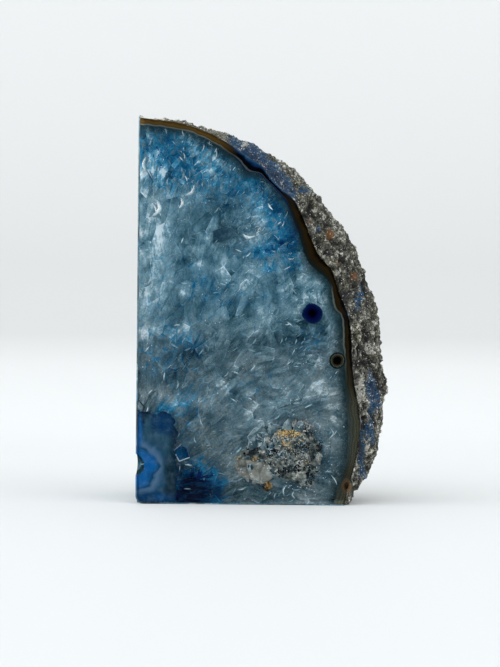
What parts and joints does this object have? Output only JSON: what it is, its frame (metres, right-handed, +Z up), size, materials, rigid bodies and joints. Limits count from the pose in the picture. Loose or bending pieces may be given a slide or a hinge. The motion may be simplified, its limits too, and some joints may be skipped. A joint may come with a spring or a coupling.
{
  "type": "agate geode bookend",
  "caption": "Half of a dyed blue agate nodule, sawn and polished into an upright bookend with a flat base, a flat side and a rough natural rind.",
  "frame": {"origin": "centre of the object's box in X and Y, on the sawn base at Z = 0", "axes": "+Z up from the sawn base along the height; the polished face looks along -Y; the sawn flat side looks along -X"},
  "size_m": [0.0918, 0.0606, 0.1405],
  "materials": {
    "agate": "polished on the front, fine-ground on the side and base, raw rind elsewhere"
  },
  "bodies": {
    "root": {"agate_geode": "agate"}
  },
  "joints": []
}
